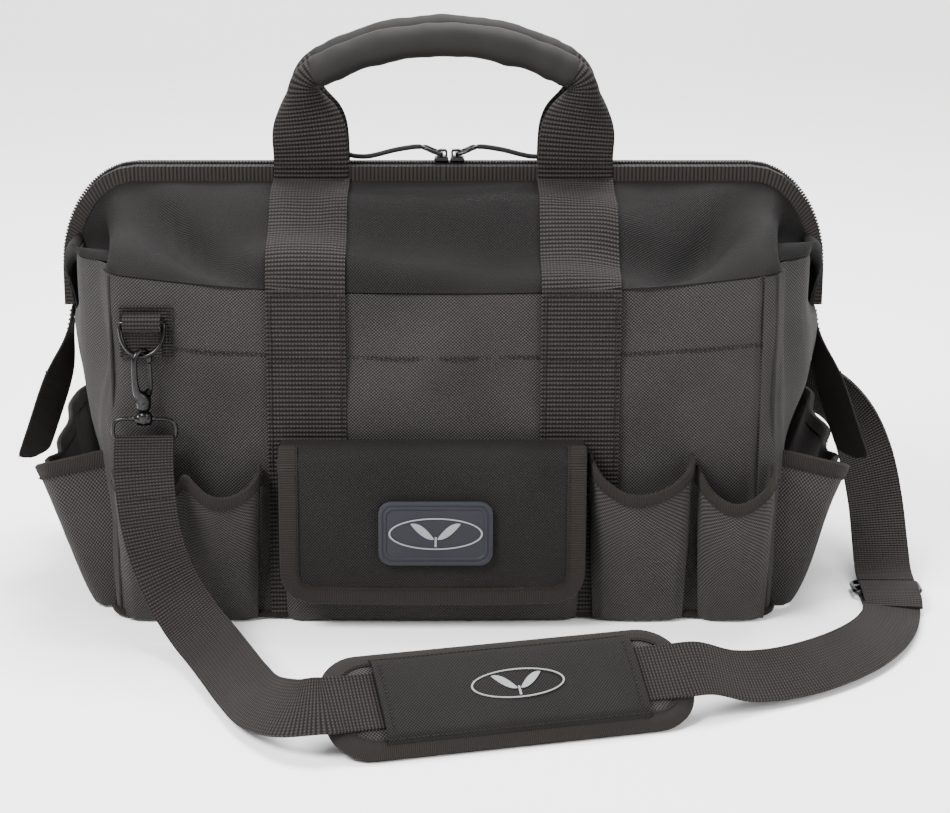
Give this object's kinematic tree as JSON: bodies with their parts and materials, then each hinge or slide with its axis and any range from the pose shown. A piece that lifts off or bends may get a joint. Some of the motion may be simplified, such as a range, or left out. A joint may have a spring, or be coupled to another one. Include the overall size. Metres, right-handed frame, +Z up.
{
  "type": "garden tool bag",
  "caption": "Wide-mouth fabric garden tool bag with outer pockets, flap pocket, wire mouth frame, zip, two padded handles and a shoulder strap.",
  "frame": {"origin": "centre of the bag's flat base, on the surface it stands on", "axes": "+X along the bag to its right end as seen from the front, +Y to its back, +Z up"},
  "size_m": [0.6148, 0.5032, 0.3815],
  "materials": {
    "polyester": "matte basket weave",
    "dark_polyester": "matte weave",
    "webbing": "ribbed webbing",
    "binding": "ribbed tape",
    "grip_cloth": "smooth cloth",
    "board": "matte",
    "steel": "satin",
    "gunmetal": "glossy gunmetal",
    "zip_teeth": "satin",
    "patch": "matte",
    "pad_foam": "matte weave"
  },
  "bodies": {
    "root": {"back_hook_eye": "gunmetal", "back_left_pocket": "polyester", "back_left_webbing": "webbing", "back_panel": "polyester", "back_right_pocket": "polyester", "back_right_webbing": "webbing", "back_ring_tab": "webbing", "back_top_panel": "polyester", "base_board": "board", "bottom_panel": "dark_polyester", "front_centre_pocket": "polyester", "front_corner_pocket": "polyester", "front_hook_eye": "gunmetal", "front_left_pocket": "polyester", "front_left_webbing": "webbing", "front_panel": "polyester", "front_right_pocket": "polyester", "front_right_webbing": "webbing", "front_ring_tab": "webbing", "front_top_panel": "polyester", "left_end_panel": "polyester", "left_gusset": "dark_polyester", "left_pivot_rivet": "steel", "left_side_pocket": "polyester", "left_zip_end": "binding", "pad_sleeve": "polyester", "right_end_panel": "polyester", "right_gusset": "dark_polyester", "right_pivot_rivet": "steel", "right_side_pocket": "polyester", "right_zip_end": "binding", "shoulder_pad": "pad_foam", "strap_adjuster": "webbing", "strap_webbing": "webbing", "tri_glide": "gunmetal"},
    "mouth_front": {"frame_front_rod": "steel", "zip_tape_front": "binding", "zip_chain_front": "zip_teeth"},
    "mouth_back": {"frame_back_rod": "steel", "zip_tape_back": "binding", "zip_chain_back": "zip_teeth"},
    "front_handle": {"front_handle_loop": "webbing", "front_grip": "grip_cloth"},
    "back_handle": {"back_handle_loop": "webbing", "back_grip": "grip_cloth"},
    "left_slider": {"left_slider": "gunmetal"},
    "right_slider": {"right_slider": "gunmetal"},
    "left_pull": {"left_pull_ring": "gunmetal", "left_pull_cord": "grip_cloth"},
    "right_pull": {"right_pull_ring": "gunmetal", "right_pull_cord": "grip_cloth"},
    "flap": {"pocket_flap": "polyester", "flap_patch": "patch"},
    "front_ring": {"front_d_ring": "gunmetal"},
    "back_ring": {"back_d_ring": "gunmetal"},
    "front_hook": {"front_hook": "gunmetal"},
    "back_hook": {"back_hook": "gunmetal"},
    "front_gate": {"front_hook_gate": "gunmetal"},
    "back_gate": {"back_hook_gate": "gunmetal"}
  },
  "joints": [
    {"name": "mouth_front_open", "type": "hinge", "parent": "root", "child": "mouth_front", "pos_m": [0, 0, 0.19], "axis": [1, 0, 0], "range_deg": [0, 45], "deforming": ["front_top_panel", "left_gusset"]},
    {"name": "mouth_back_open", "type": "hinge", "parent": "root", "child": "mouth_back", "pos_m": [0, 0, 0.19], "axis": [-1, 0, 0], "range_deg": [0, 45], "deforming": ["back_top_panel", "right_gusset"]},
    {"name": "front_handle_fold", "type": "hinge", "parent": "mouth_front", "child": "front_handle", "pos_m": [0, -0.0168, 0.2862], "axis": [1, 0, 0], "range_deg": [-5, 45]},
    {"name": "back_handle_fold", "type": "hinge", "parent": "mouth_back", "child": "back_handle", "pos_m": [0, 0.0168, 0.2862], "axis": [-1, 0, 0], "range_deg": [-5, 45]},
    {"name": "left_slider_run", "type": "slide", "parent": "mouth_front", "child": "left_slider", "axis": [-1, 0, 0], "range_m": [0, 0.19]},
    {"name": "right_slider_run", "type": "slide", "parent": "mouth_front", "child": "right_slider", "axis": [1, 0, 0], "range_m": [0, 0.19]},
    {"name": "left_pull_lift", "type": "hinge", "parent": "left_slider", "child": "left_pull", "pos_m": [-0.0013, 0, 0.29175], "axis": [0, 1, 0], "range_deg": [0, 90]},
    {"name": "right_pull_lift", "type": "hinge", "parent": "right_slider", "child": "right_pull", "pos_m": [0.0093, 0, 0.29175], "axis": [0, -1, 0], "range_deg": [0, 90]},
    {"name": "flap_lift", "type": "hinge", "parent": "root", "child": "flap", "pos_m": [-0.007, -0.1185, 0.1265], "axis": [-1, 0, 0], "range_deg": [0, 85]},
    {"name": "front_ring_swing", "type": "hinge", "parent": "root", "child": "front_ring", "pos_m": [-0.193, -0.1215, 0.204], "axis": [-1, 0, 0], "range_deg": [0, 1.5]},
    {"name": "back_ring_swing", "type": "hinge", "parent": "root", "child": "back_ring", "pos_m": [0.193, 0.1215, 0.204], "axis": [1, 0, 0], "range_deg": [0, 1.5]},
    {"name": "front_hook_swivel", "type": "hinge", "parent": "root", "child": "front_hook", "pos_m": [-0.193, -0.1262, 0.1478], "axis": [0, 0, 1], "range_deg": [0, 10]},
    {"name": "back_hook_swivel", "type": "hinge", "parent": "root", "child": "back_hook", "pos_m": [0.193, 0.1262, 0.1478], "axis": [0, 0, 1], "range_deg": [0, 10]},
    {"name": "front_gate_press", "type": "hinge", "parent": "front_hook", "child": "front_gate", "pos_m": [-0.18904, -0.12224, 0.1605], "axis": [0.7071, -0.7071, 0], "range_deg": [0, 16], "stiffness_Nm_per_rad": 0.02, "springref_deg": -8.59},
    {"name": "back_gate_press", "type": "hinge", "parent": "back_hook", "child": "back_gate", "pos_m": [0.18904, 0.12224, 0.1605], "axis": [-0.7071, 0.7071, 0], "range_deg": [0, 16], "stiffness_Nm_per_rad": 0.02, "springref_deg": -8.59}
  ]
}
